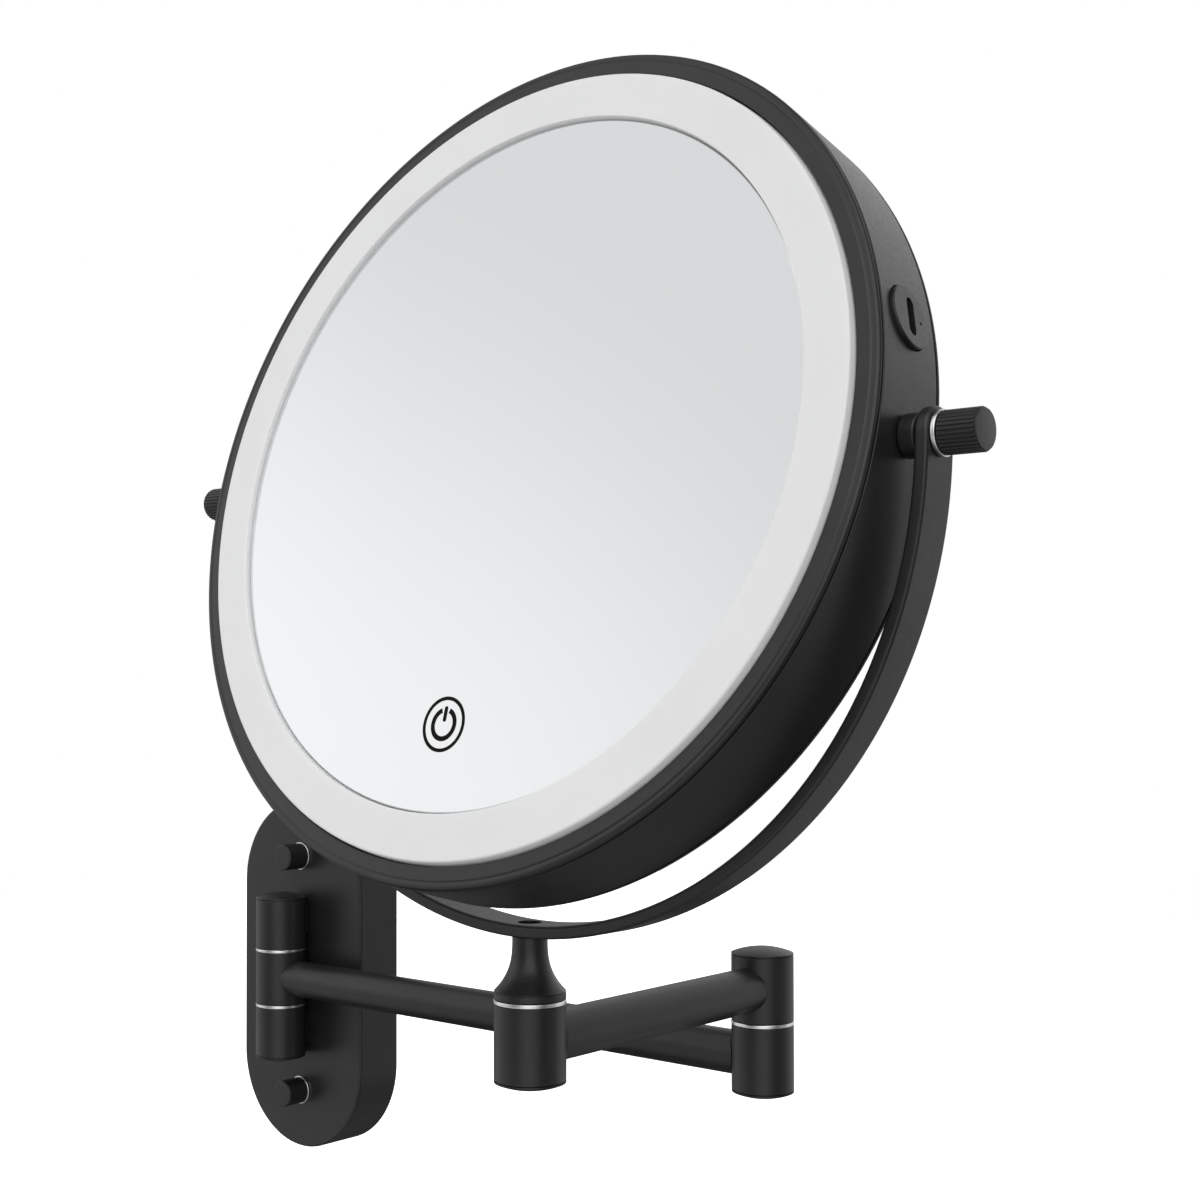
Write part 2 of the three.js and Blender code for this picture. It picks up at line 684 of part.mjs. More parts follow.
// Clamping knob with straight ridges, a plain end and a blind threaded hole.
function knob() {
  const gripEnd = KNOB.end - KNOB.plainEnd;
  const pointsPerRidge = 4; // two on the ridge and two in the groove
  const pointCount = KNOB.ridges * pointsPerRidge;
  const points = Array.from({ length: pointCount }, (_, i) => {
    const angle = (2 * Math.PI * i) / pointCount;
    const radius = i % pointsPerRidge < pointsPerRidge / 2 ? KNOB.radius : KNOB.radius - KNOB.groove;
    return new THREE.Vector2(radius * Math.cos(angle), radius * Math.sin(angle));
  });
  const grip = new THREE.ExtrudeGeometry(new THREE.Shape(points), {
    depth: gripEnd - KNOB.start,
    bevelEnabled: false,
  }).translate(0, 0, KNOB.start);
  const plain = ring(0, KNOB.radius - KNOB.groove, gripEnd - KNOB.plainEnd, KNOB.end);
  const bore = ring(0, PIVOT.studRadius + FIT, KNOB.start - PAST, KNOB.start + KNOB.bore, ROUND.tiny);
  return geometryOf(cut(join(solid(grip), solid(plain)), solid(bore))).rotateY(Math.PI / 2);
}

// ---------------------------------------------------------------- assembly

const mirror = new THREE.Group();

addMesh(mirror, "wall_plate", wallPlate(), BLACK);
addMesh(mirror, "wall_bracket", wallBracket(), STEEL);
for (const [name, side] of HEIGHT_SIDES) {
  const fixing = addGroup(mirror, 0, 0, side * STUD.z);
  addMesh(fixing, "bracket_stud_" + name, bracketStud(), STEEL);
  addMesh(fixing, "cap_washer_" + name, capWasher(), SILVER);
  addMesh(fixing, "cap_nut_" + name, capNut(), BLACK);
  addMesh(mirror, "knuckle_screw_" + name, knuckleScrew(), STEEL)
    .position.set(0, 0, side * BARREL.pitch);
}

const wallHinge = addGroup(mirror, 0, -BARREL.out, 0);
for (const [name, side] of HEIGHT_SIDES) {
  addMesh(wallHinge, "wall_knuckle_" + name, fixedKnuckle(side), BLACK);
  addMesh(wallHinge, "wall_ring_" + name, hingeRing((side * BARREL.pitch) / 2), SILVER);
}
addMesh(wallHinge, "wall_cap_upper", capAbove(FIXED_OUTER, PIN_BORE), BLACK);
addMesh(wallHinge, "wall_cap_lower", capBelow(-FIXED_OUTER, PIN_BORE), BLACK);
const wallPinEnd = FIXED_OUTER - PIN.endInset;
addMesh(wallHinge, "wall_hinge_pin", hingePin(-wallPinEnd, wallPinEnd), STEEL);

const arm1 = addGroup(mirror, 0, -BARREL.out, 0, ARM_1.heading);
addMesh(arm1, "arm_1_wall_knuckle", knuckle(0, BARREL.bore), BLACK);
addMesh(arm1, "wall_bush", bush(0, "none"), NYLON);
addMesh(arm1, "arm_1_tube", armTube(ARM_1.length, 0), BLACK);

const elbow = addGroup(arm1, ARM_1.length, 0, 0);
addMesh(elbow, "arm_1_elbow_knuckle", knuckle(0, PIN_BORE), BLACK);
addMesh(elbow, "elbow_cap_lower", capBelow(levelBottom(0), PIN_BORE), BLACK);
addMesh(
  elbow,
  "elbow_pin",
  hingePin(levelBottom(0) + PIN.endInset, levelTop(1) - PIN.endInset),
  STEEL,
);

const arm2 = addGroup(arm1, ARM_1.length, 0, 0, ARM_2.heading - ARM_1.heading);
addMesh(arm2, "elbow_ring", hingeRing(BARREL.pitch / 2), SILVER);
addMesh(arm2, "arm_2_elbow_knuckle", knuckle(1, BARREL.bore), BLACK);
addMesh(arm2, "elbow_bush", bush(1, "top"), NYLON);
addMesh(arm2, "elbow_cap_upper", capAbove(levelTop(1), BARREL.bore), BLACK);
addMesh(arm2, "arm_2_tube", armTube(ARM_2.length, 1), BLACK);

const hub = addGroup(arm2, ARM_2.length, 0, 0);
addMesh(hub, "arm_2_hub_knuckle", knuckle(1, BARREL.bore), BLACK);
addMesh(hub, "hub_bush", bush(1, "bottom"), NYLON);
addMesh(hub, "hub_cap", capBelow(levelBottom(1), BARREL.bore), BLACK);
addMesh(hub, "hub_ring", hingeRing(1.5 * BARREL.pitch), SILVER);

const yoke = addGroup(arm2, ARM_2.length, 0, 0, -ARM_2.heading);
addMesh(yoke, "hub_pin", hubPin(), STEEL);
addMesh(yoke, "yoke_post", yokePost(), BLACK);
addMesh(yoke, "yoke_arch", yokeArch(), BLACK).position.z = YOKE.pivotHeight;
addMesh(yoke, "yoke_screw", yokeScrew(), STEEL);

// The head's own frame: +X along the pivots, +Z out of the lighted face.
const head = addGroup(yoke, 0, 0, YOKE.pivotHeight);
head.rotation.x = THREE.MathUtils.degToRad(90 - TILT);
addMesh(head, "drum_shell", drumShell(), BLACK);
addMesh(head, "front_bezel", bezel(BEZEL.inner), BLACK);
addMesh(head, "light_ring", lightRing(), DIFFUSER);
addMesh(head, "front_mirror", frontMirror(), GLASS);
addMesh(head, "carrier_plate", carrierPlate(), WHITE_PLASTIC);
addMesh(head, "led_board", ledBoard(), CIRCUIT);
addMesh(head, "touch_sensor", touchSensor(), CIRCUIT);
addMesh(head, "rear_bezel", bezel(REAR.bezelInner).rotateX(Math.PI), BLACK);
addMesh(head, "rear_mirror", rearMirror(), GLASS);
addMesh(head, "chassis_plate", chassisPlate(), WHITE_PLASTIC);
addMesh(head, "battery_pack", batteryPack(), CELL);
addMesh(head, "control_board", controlBoard(), CIRCUIT);
addMesh(head, "usb_plate", usbPlate(), BLACK);
addMesh(head, "usb_socket", usbSocket(), STEEL);
for (const [name, turn] of SIDES) {
  const pivot = new THREE.Group();
  pivot.rotation.z = turn;
  head.add(pivot);
  addMesh(pivot, "pivot_stud_" + name, pivotStud(), STEEL);
  addMesh(pivot, "pivot_spacer_" + name, pivotSpacer(), BLACK);
  addMesh(pivot, "knob_washer_" + name, knobWasher(), SILVER);
  addMesh(pivot, "knob_" + name, knob(), BLACK);
}

export default mirror;
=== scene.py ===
# Looks of the extendable wall mirror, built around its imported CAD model.
# Pieces are modelled in millimetres in their own frames and placed in metres in the model's frame.
# Each fine piece but the touch mark stands for one CAD node, and takes its place and main sizes
# from that node.

import json
import math

import bmesh
import bpy
from mathutils import Matrix, Vector

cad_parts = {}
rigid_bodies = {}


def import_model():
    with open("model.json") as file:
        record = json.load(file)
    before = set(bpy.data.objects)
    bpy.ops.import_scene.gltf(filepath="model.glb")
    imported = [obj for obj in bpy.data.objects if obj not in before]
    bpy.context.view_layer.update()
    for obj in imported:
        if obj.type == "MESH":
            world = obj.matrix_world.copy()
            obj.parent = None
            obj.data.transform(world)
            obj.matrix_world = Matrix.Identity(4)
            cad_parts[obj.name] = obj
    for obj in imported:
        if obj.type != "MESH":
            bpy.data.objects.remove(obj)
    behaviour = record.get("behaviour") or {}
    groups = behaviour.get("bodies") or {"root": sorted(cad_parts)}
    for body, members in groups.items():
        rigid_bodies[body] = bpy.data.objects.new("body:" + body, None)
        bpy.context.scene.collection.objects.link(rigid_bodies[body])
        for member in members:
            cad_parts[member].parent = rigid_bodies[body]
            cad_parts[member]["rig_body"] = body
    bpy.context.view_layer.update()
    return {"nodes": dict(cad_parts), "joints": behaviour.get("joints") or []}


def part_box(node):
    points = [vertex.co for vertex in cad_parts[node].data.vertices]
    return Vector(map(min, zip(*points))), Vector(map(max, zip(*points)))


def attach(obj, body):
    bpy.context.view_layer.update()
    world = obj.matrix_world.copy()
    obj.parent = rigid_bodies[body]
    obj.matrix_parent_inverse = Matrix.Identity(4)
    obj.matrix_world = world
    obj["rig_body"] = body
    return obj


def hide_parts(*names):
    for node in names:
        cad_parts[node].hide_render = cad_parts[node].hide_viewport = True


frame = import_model()

MM = 0.001

# ---------------------------------------------------------------- places, from the CAD model

JOINTS = {joint["name"]: joint for joint in frame["joints"]}
UP = Vector((0, 0, 1))
SIDEWAYS = Vector((1, 0, 0))
OUT_OF_WALL = Vector((0, -1, 0))


def joint_point(name):
    return Vector(JOINTS[name]["pos_m"])


def node_middle(name):
    """Middle of a CAD node's box."""
    low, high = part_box(name)
    return (low + high) / 2


def axes(origin, x_axis, z_axis):
    """Frame at a point with its +X and +Z along two directions at right angles."""
    columns = (x_axis, z_axis.cross(x_axis), z_axis)
    turn = Matrix([[column[row] for column in columns] for row in range(3)])
    return Matrix.Translation(origin) @ turn.to_4x4()


def shifted(place, x=0, y=0, z=0):
    """The frame moved along its own axes, in mm."""
    return place @ Matrix.Translation(Vector((x, y, z)) * MM)


def turned_over(place):
    return place @ Matrix.Rotation(math.pi, 4, "X")


def pointing_along_x(place):
    """The frame turned so that its +Z is along its old +X."""
    return place @ Matrix.Rotation(math.pi / 2, 4, "Y")


def upright_at(point):
    """Upright frame on the level z = 0 under a point."""
    return Matrix.Translation((point.x, point.y, 0))


WALL_POINT = joint_point("wall_swing")
ELBOW_POINT = joint_point("elbow_swing")
HUB_POINT = joint_point("head_swivel")
PIVOT_POINT = joint_point("mirror_tilt")

WALL = axes(Vector((0, 0, 0)), SIDEWAYS, OUT_OF_WALL)
WALL_HINGE = upright_at(WALL_POINT)
ELBOW = upright_at(ELBOW_POINT)
HUB = upright_at(HUB_POINT)
ARCH = axes(PIVOT_POINT, SIDEWAYS, UP)
FACING = (node_middle("front_mirror") - PIVOT_POINT).normalized()
HEAD = axes(PIVOT_POINT, SIDEWAYS, FACING)
PIVOTS = {
    "right": pointing_along_x(HEAD),
    "left": pointing_along_x(HEAD @ Matrix.Rotation(math.pi, 4, "Z")),
}

PORT_ANGLE = math.radians(14.9)  # round the drum from the right pivot towards the top
PORT_AXIAL = 0.15  # forward of the pivots' axis, in mm
PORT = pointing_along_x(shifted(HEAD @ Matrix.Rotation(PORT_ANGLE, 4, "Z"), z=PORT_AXIAL))


class Span:
    """Points and size of a CAD node in a frame, in mm: its lowest and highest level along the
    frame's Z, and its farthest and nearest points from the Z axis."""

    def __init__(self, node, place):
        to_local = place.inverted()
        self.points = [to_local @ v.co / MM for v in frame["nodes"][node].data.vertices]
        distances = [math.hypot(p.x, p.y) for p in self.points]
        self.low = min(p.z for p in self.points)
        self.high = max(p.z for p in self.points)
        self.radius = max(distances)
        self.bore = min(distances)


# ---------------------------------------------------------------- profiles and outlines

SIDES = {"large": 240, "barrel": 96, "small": 64, "ribs": 360, "hexagon": 6}
FILLET_STEPS = 5
RIB_STEEPNESS = 2.2  # of the ribs' flanks
RIB_WIDENING = 0.6  # over 0 makes the ribs wider than the grooves


def rounded(corners):
    """Profile through (radius, height, fillet) corners, each fillet drawn as an arc."""
    profile = []
    for i, (r, z, fillet) in enumerate(corners):
        corner = Vector((r, z))
        if fillet == 0:
            profile.append((r, z))
            continue
        back = (Vector(corners[i - 1][:2]) - corner).normalized()
        ahead = (Vector(corners[(i + 1) % len(corners)][:2]) - corner).normalized()
        half = back.angle(ahead) / 2
        reach = fillet / math.tan(half)
        centre = corner + (back + ahead).normalized() * (fillet / math.sin(half))
        start = corner + back * reach - centre
        end = corner + ahead * reach - centre
        turn = start.angle(end)
        side = (end - start * math.cos(turn)) / math.sin(turn)
        for step in range(FILLET_STEPS + 1):
            a = turn * step / FILLET_STEPS
            point = centre + start * math.cos(a) + side * math.sin(a)
            profile.append((point.x, point.y))
    return profile


def circle(radius, sides):
    """Points round a circle. When four divides the number of sides, none lies on an axis, so
    each belongs to one quadrant."""
    angles = [(i + 0.5) * 2 * math.pi / sides for i in range(sides)]
    return [(radius * math.cos(a), radius * math.sin(a)) for a in angles]


def spread_circle(width, height):
    """Outline of a circle whose quadrants are moved apart along one axis: a stadium."""

    def outline(radius, sides):
        return [
            (x + math.copysign(width / 2, x), y + math.copysign(height / 2, y))
            for x, y in circle(radius, sides)
        ]

    return outline


def long_strip(length, stations):
    """Outline of a stadium lying along X, with points all along its straight sides."""

    def outline(radius, sides):
        points = spread_circle(length, 0)(radius, sides)
        quadrant = len(points) // 4
        upper_right, lower_right = points[:quadrant], points[-quadrant:]
        left = points[quadrant:-quadrant]
        along = [length * (i / stations - 0.5) for i in range(stations + 1)]
        upper = [(x, radius) for x in reversed(along)]
        lower = [(x, -radius) for x in along]
        return upper_right + upper + left + lower + lower_right

    return outline


def ribbed(ribs, depth, bare_radius):
    """Outline with straight rounded ribs on it where the radius is over the bare one."""

    def outline(radius, sides):
        share = max(0.0, min(1.0, (radius - bare_radius) / depth))
        points = []
        for x, y in circle(1, sides):
            wave = math.cos(ribs * math.atan2(y, x))
            groove = depth * share * (1 - math.tanh(RIB_STEEPNESS * wave + RIB_WIDENING)) / 2
            points.append(((radius - groove) * x, (radius - groove) * y))
        return points

    return outline


# ---------------------------------------------------------------- meshes


SAME_POINT = 0.001  # points nearer than this, in mm, are joined


def mesh_of(points, faces, place):
    """Mesh of points in mm, moved from a piece's own frame to the model's. Doubled points are
    joined and the faces turned out."""
    mesh = bpy.data.meshes.new("piece")
    mesh.from_pydata([place @ (Vector(p) * MM) for p in points], [], faces)
    work = bmesh.new()
    work.from_mesh(mesh)
    bmesh.ops.remove_doubles(work, verts=work.verts, dist=SAME_POINT * MM)
    bmesh.ops.recalc_face_normals(work, faces=work.faces)
    work.to_mesh(mesh)
    work.free()
    return mesh


def unbent(x, y, z):
    """The bend of a straight piece: none."""
    return (x, y, z)


def turned(profile, place, sides="barrel", outline=circle, bend=unbent):
    """Solid of a closed profile of (radius, height) points swept round +Z along an outline.
    Two neighbouring points on the axis have no face between them."""
    rings = [[bend(x, y, z) for x, y in outline(r, SIDES[sides])] for r, z in profile]
    count = len(rings[0])
    faces = []
    for i, (r, _) in enumerate(profile):
        following = (i + 1) % len(profile)
        if r == 0 and profile[following][0] == 0:
            continue
        for j in range(count):
            k = (j + 1) % count
            a, b = i * count, following * count
            faces.append((a + j, a + k, b + k, b + j))
    return mesh_of([point for ring in rings for point in ring], faces, place)


def ring(inner, outer, low, high, fillet, place, sides="barrel"):
    """Plain ring with its outer edges rounded."""
    corners = [(inner, low, 0), (outer, low, fillet), (outer, high, fillet), (inner, high, 0)]
    return turned(rounded(corners), place, sides)


def rod(radius, low, high, place, sides="small", outline=circle):
    """Plain rod along +Z: a solid, or the tool that cuts a hole."""
    return turned([(0, low), (radius, low), (radius, high), (0, high)], place, sides, outline)


def combined(mesh, tools, operation):
    """The mesh with other meshes cut from it or joined to it."""
    piece = bpy.data.objects.new("combined", mesh)
    bpy.context.scene.collection.objects.link(piece)
    others = []
    for tool in tools:
        other = bpy.data.objects.new("tool", tool)
        bpy.context.scene.collection.objects.link(other)
        others.append(other)
        boolean = piece.modifiers.new("boolean", "BOOLEAN")
        boolean.operation = operation
        boolean.solver = "EXACT"
        boolean.object = other
    graph = bpy.context.evaluated_depsgraph_get()
    result = bpy.data.meshes.new_from_object(piece.evaluated_get(graph))
    for made in [piece, *others]:
        bpy.data.objects.remove(made)
    return result


def cut(mesh, *tools):
    return combined(mesh, tools, "DIFFERENCE")


def join(mesh, *others):
    return combined(mesh, others, "UNION")


SHARP_ANGLE = math.radians(38)
LARGE_FACES_LEAD = 100  # at 50 all faces would count alike in the shading


def add_piece(name, mesh, body, slot, material=None):
    """Puts a mesh on a body, shaded smooth with its flat faces kept flat. Its material is the
    slot's own unless another is named."""
    mesh.name = name
    mesh.shade_smooth()
    mesh.set_sharp_from_angle(angle=SHARP_ANGLE)
    mesh.materials.clear()
    mesh.materials.append(MATERIALS[material or slot])
    piece = bpy.data.objects.new(name, mesh)
    bpy.context.scene.collection.objects.link(piece)
    weighted = piece.modifiers.new("weighted", "WEIGHTED_NORMAL")
    weighted.keep_sharp = True
    weighted.weight = LARGE_FACES_LEAD
    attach(piece, body)
    return piece


def refine(node, mesh, slot):
    """Puts a fine mesh in place of a CAD node, on that node's body."""
    piece = add_piece(node + ".fine", mesh, frame["nodes"][node]["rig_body"], slot)
    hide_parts(node)


# ---------------------------------------------------------------- materials

NOISE_SPREAD = (0.3, 0.7)  # noise values that stand for the ends of a range
NOISE_BLEND = (0.35, 0.65)  # noise values that stand for the two colours of a blend


class Look:
    """A Principled material, with short ways to add the nodes that give it its texture."""

    def __init__(self, name, color, roughness, metallic=0.0):
        self.material = bpy.data.materials.new(name)
        self.material.use_nodes = True
        self.nodes = self.material.node_tree.nodes
        self.links = self.material.node_tree.links
        self.shader = self.nodes["Principled BSDF"]
        self.shader.inputs["Base Color"].default_value = (*color, 1)
        self.shader.inputs["Roughness"].default_value = roughness
        self.shader.inputs["Metallic"].default_value = metallic
        self.position = self.nodes.new("ShaderNodeTexCoord").outputs["Object"]

    def noise(self, scale, detail=3.0, stretch=(1, 1, 1)):
        """Noise in the piece's own space, with its scale in features per metre."""
        mapping = self.nodes.new("ShaderNodeMapping")
        mapping.inputs["Scale"].default_value = stretch
        self.links.new(self.position, mapping.inputs["Vector"])
        noise = self.nodes.new("ShaderNodeTexNoise")
        noise.inputs["Scale"].default_value = scale
        noise.inputs["Detail"].default_value = detail
        self.links.new(mapping.outputs["Vector"], noise.inputs["Vector"])
        return noise.outputs["Fac"]

    def spread(self, value, low, high):
        """A noise value spread over a range."""
        ranged = self.nodes.new("ShaderNodeMapRange")
        ranged.inputs["From Min"].default_value = NOISE_SPREAD[0]
        ranged.inputs["From Max"].default_value = NOISE_SPREAD[1]
        ranged.inputs["To Min"].default_value = low
        ranged.inputs["To Max"].default_value = high
        self.links.new(value, ranged.inputs["Value"])
        return ranged.outputs["Result"]

    def blend(self, value, first, second):
        """A colour that goes from the first to the second with a noise value."""
        ramp = self.nodes.new("ShaderNodeValToRGB")
        start, end = ramp.color_ramp.elements
        start.position, start.color = NOISE_BLEND[0], (*first, 1)
        end.position, end.color = NOISE_BLEND[1], (*second, 1)
        self.links.new(value, ramp.inputs["Fac"])
        return ramp.outputs["Color"]

    def drive(self, socket, output):
        """Feeds one of the shader's inputs from a texture."""
        self.links.new(output, self.shader.inputs[socket])

    def relief(self, value, depth):
        """Small relief from a texture value, its depth in mm."""
        bump = self.nodes.new("ShaderNodeBump")
        bump.inputs["Distance"].default_value = depth * MM
        self.links.new(value, bump.inputs["Height"])
        self.drive("Normal", bump.outputs["Normal"])


def black_paint():
    """Satin powder coat with a finely pebbled skin."""
    look = Look("black_paint", (0.018, 0.018, 0.0185), 0.35)
    colour = look.blend(look.noise(60), (0.016, 0.016, 0.0165), (0.020, 0.020, 0.0205))
    look.drive("Base Color", colour)
    look.drive("Roughness", look.spread(look.noise(900), 0.31, 0.39))
    look.relief(look.noise(2600, detail=1.5), 0.012)
    return look.material


def black_ink():
    """Dull black ink, a little uneven."""
    look = Look("black_ink", (0.003, 0.003, 0.003), 0.7)
    look.shader.inputs["Specular IOR Level"].default_value = 0.15
    colour = look.blend(look.noise(400), (0.002, 0.002, 0.002), (0.004, 0.004, 0.004))
    look.drive("Base Color", colour)
    look.drive("Roughness", look.spread(look.noise(1500), 0.6, 0.8))
    return look.material


def bright_chrome():
    """Polished plating with the faint trace of its polishing."""
    look = Look("bright_chrome", (0.93, 0.935, 0.945), 0.27, metallic=1.0)
    look.drive("Roughness", look.spread(look.noise(400), 0.22, 0.32))
    look.relief(look.noise(700), 0.002)
    return look.material


def plain_steel():
    """Zinc-plated steel, slightly clouded, with fine drawing lines."""
    look = Look("plain_steel", (0.56, 0.57, 0.59), 0.34, metallic=1.0)
    look.drive("Base Color", look.blend(look.noise(250), (0.5, 0.51, 0.53), (0.62, 0.63, 0.65)))
    lines = look.noise(300, stretch=(12, 12, 1))
    look.drive("Roughness", look.spread(lines, 0.28, 0.42))
    look.relief(lines, 0.004)
    return look.material


def mirror_glass():
    """Silvered glass, clean, with a trace of haze."""
    look = Look("mirror_glass", (0.86, 0.875, 0.885), 0.02, metallic=1.0)
    look.drive("Roughness", look.spread(look.noise(45), 0.01, 0.035))
    return look.material


def diffuser():
    """Frosted light ring at its faintest: light sinks into it, and it glows a little."""
    look = Look("diffuser", (0.86, 0.865, 0.875), 0.38)
    look.shader.inputs["Subsurface Weight"].default_value = 0.35
    look.shader.inputs["Subsurface Radius"].default_value = (0.003, 0.003, 0.0032)
    look.shader.inputs["Subsurface Scale"].default_value = 1.0
    look.shader.inputs["Emission Color"].default_value = (1, 0.99, 0.98, 1)
    look.shader.inputs["Emission Strength"].default_value = 0.07
    look.drive("Base Color", look.blend(look.noise(30), (0.85, 0.855, 0.865), (0.88, 0.885, 0.895)))
    look.drive("Roughness", look.spread(look.noise(1500), 0.34, 0.44))
    look.relief(look.noise(3000), 0.004)
    return look.material


def white_plastic():
    """Moulded white plastic with a fine eroded skin."""
    look = Look("white_plastic", (0.8, 0.8, 0.78), 0.45)
    look.drive("Base Color", look.blend(look.noise(40), (0.78, 0.78, 0.76), (0.83, 0.83, 0.81)))
    look.drive("Roughness", look.spread(look.noise(1200), 0.4, 0.52))
    look.relief(look.noise(2000), 0.01)
    return look.material


def circuit_board():
    """Green solder mask over copper tracks."""
    look = Look("circuit_board", (0.02, 0.13, 0.055), 0.35)
    tracks = look.nodes.new("ShaderNodeTexBrick")
    tracks.inputs["Scale"].default_value = 260
    tracks.inputs["Mortar Size"].default_value = 0.03
    tracks.inputs["Color1"].default_value = (0.015, 0.115, 0.045, 1)
    tracks.inputs["Color2"].default_value = (0.02, 0.14, 0.06, 1)
    tracks.inputs["Mortar"].default_value = (0.05, 0.24, 0.1, 1)
    look.links.new(look.position, tracks.inputs["Vector"])
    look.drive("Base Color", tracks.outputs["Color"])
    look.drive("Roughness", look.spread(look.noise(500), 0.28, 0.42))
    look.relief(tracks.outputs["Fac"], 0.03)
    return look.material


def battery_wrap():
    """Blue heat-shrink film with shallow wrinkles."""
    look = Look("battery_wrap", (0.05, 0.14, 0.36), 0.3)
    look.drive("Base Color", look.blend(look.noise(50), (0.045, 0.125, 0.33), (0.06, 0.16, 0.4)))
    look.drive("Roughness", look.spread(look.noise(300), 0.22, 0.38))
    look.relief(look.noise(160, stretch=(1, 4, 1)), 0.15)
    return look.material


def nylon():
    """Natural nylon, slightly waxy."""
    look = Look("nylon", (0.75, 0.72, 0.63), 0.4)
    look.drive("Base Color", look.blend(look.noise(120), (0.72, 0.69, 0.6), (0.79, 0.76, 0.67)))
    look.drive("Roughness", look.spread(look.noise(900), 0.34, 0.48))
    return look.material


MATERIALS = {
    make.__name__: make()
    for make in (
        black_paint,
        black_ink,
        bright_chrome,
        plain_steel,
        mirror_glass,
        diffuser,
        white_plastic,
        circuit_board,
        battery_wrap,
        nylon,
    )
}

# CAD nodes that keep their own shape, by the slot of their finish
KEPT_NODES = {
    "plain_steel": [
        "wall_bracket",
        "bracket_stud_upper",
        "bracket_stud_lower",
        "knuckle_screw_upper",
        "knuckle_screw_lower",
        "wall_hinge_pin",
        "elbow_pin",
        "hub_pin",
        "pivot_stud_right",
        "pivot_stud_left",
        "usb_socket",
    ],
    "white_plastic": ["carrier_plate", "chassis_plate"],
    "circuit_board": ["led_board", "touch_sensor", "control_board"],
    "battery_wrap": ["battery_pack"],
    "nylon": ["wall_bush", "elbow_bush", "hub_bush"],
}


def finish_kept_nodes():
    for slot, names in KEPT_NODES.items():
        for name in names:
            materials = frame["nodes"][name].data.materials
            materials.clear()
            materials.append(MATERIALS[slot])


# ---------------------------------------------------------------- wall plate and its nuts

LEVELS = ("upper", "lower")
THROUGH = 1.0  # how far a cutting tool stands past the surface that it cuts
GAP = 0.1  # between stacked turned pieces
FIT = 0.25  # between a piece and its hole or seat

PLATE_WALL = 2.5
PLATE_FACE = 3.0
PLATE_EDGE = 0.9
STUD_HOLE = 2.65
SCREW_HOLE = 2.15
NUT_BORE = 5.5  # depth of the thread's hole
NUT_FOOT_EDGE = 0.15
NUT_EDGE = 0.5
WASHER_EDGE = 0.2


def out_of_wall_at(node):
    """Frame on the wall at a CAD node's middle, with +Z out of the wall."""
    middle = node_middle(node) / MM
    return shifted(WALL, x=middle.x, y=middle.z)


def wall_plate():
    """Hollow stadium cover, open at the wall, with a rounded front edge."""
    low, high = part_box("wall_plate")
    half_width, half_height, depth = high.x / MM, high.z / MM, -low.y / MM
    inside = half_width - PLATE_WALL
    corners = [
        (inside, 0, 0),
        (half_width, 0, 0),
        (half_width, depth, PLATE_EDGE),
        (0, depth, 0),
        (0, depth - PLATE_FACE, 0),
        (inside, depth - PLATE_FACE, 0),
    ]
    outline = spread_circle(0, 2 * (half_height - half_width))
    cover = turned(rounded(corners), WALL, "large", outline)
    holes = [
        rod(radius, depth - PLATE_FACE - THROUGH, depth + THROUGH, out_of_wall_at(node + level))
        for node, radius in (("bracket_stud_", STUD_HOLE), ("knuckle_screw_", SCREW_HOLE))
        for level in LEVELS
    ]
    refine("wall_plate", cut(cover, *holes), "black_paint")


def cap_nut(level):
    place = out_of_wall_at("cap_nut_" + level)
    nut = Span("cap_nut_" + level, place)
    corners = [
        (0, nut.low + NUT_BORE, 0),
        (STUD_HOLE, nut.low + NUT_BORE, 0),
        (STUD_HOLE, nut.low, 0),
        (nut.radius, nut.low, NUT_FOOT_EDGE),
        (nut.radius, nut.high, NUT_EDGE),
        (0, nut.high, 0),
    ]
    refine("cap_nut_" + level, turned(rounded(corners), place, "small"), "black_paint")


def refine_ring(node, bore, edge, place, slot, sides="barrel"):
    """Puts a plain ring in place of a CAD node, at the node's levels and outer radius."""
    span = Span(node, place)
    refine(node, ring(bore, span.radius, span.low, span.high, edge, place, sides), slot)


def cap_washer(level):
    node = "cap_washer_" + level
    refine_ring(node, STUD_HOLE, WASHER_EDGE, out_of_wall_at(node), "bright_chrome", "small")


# ---------------------------------------------------------------- barrel hinges

BARREL = Span("arm_1_wall_knuckle", WALL_HINGE)
BARREL_EDGE = 0.3
PIN_BORE = 3.25
FOOT_WIDTH = 8.0
FOOT_HEIGHT = 15.0
SCREW_DEPTH = 4.0  # of the screw's hole in the foot
HINGE_RING_EDGE = 0.15
CAP_PLUG = 2.0
CAP_BAND = 0.45
CAP_UNDER_EDGE = 0.1
CAP_BAND_EDGE = 0.15
DOME_STEPS = 14


def barrel(low, high, bore, place):
    """Hinge barrel with rounded outer edges, solid where its bore is 0."""
    corners = [
        (bore, low, 0),
        (BARREL.radius, low, BARREL_EDGE),
        (BARREL.radius, high, BARREL_EDGE),
        (bore, high, 0),
    ]
    return turned(rounded(corners), place)


def turning_knuckle(node, place):
    span = Span(node, place)
    refine(node, barrel(span.low, span.high, span.bore, place), "black_paint")


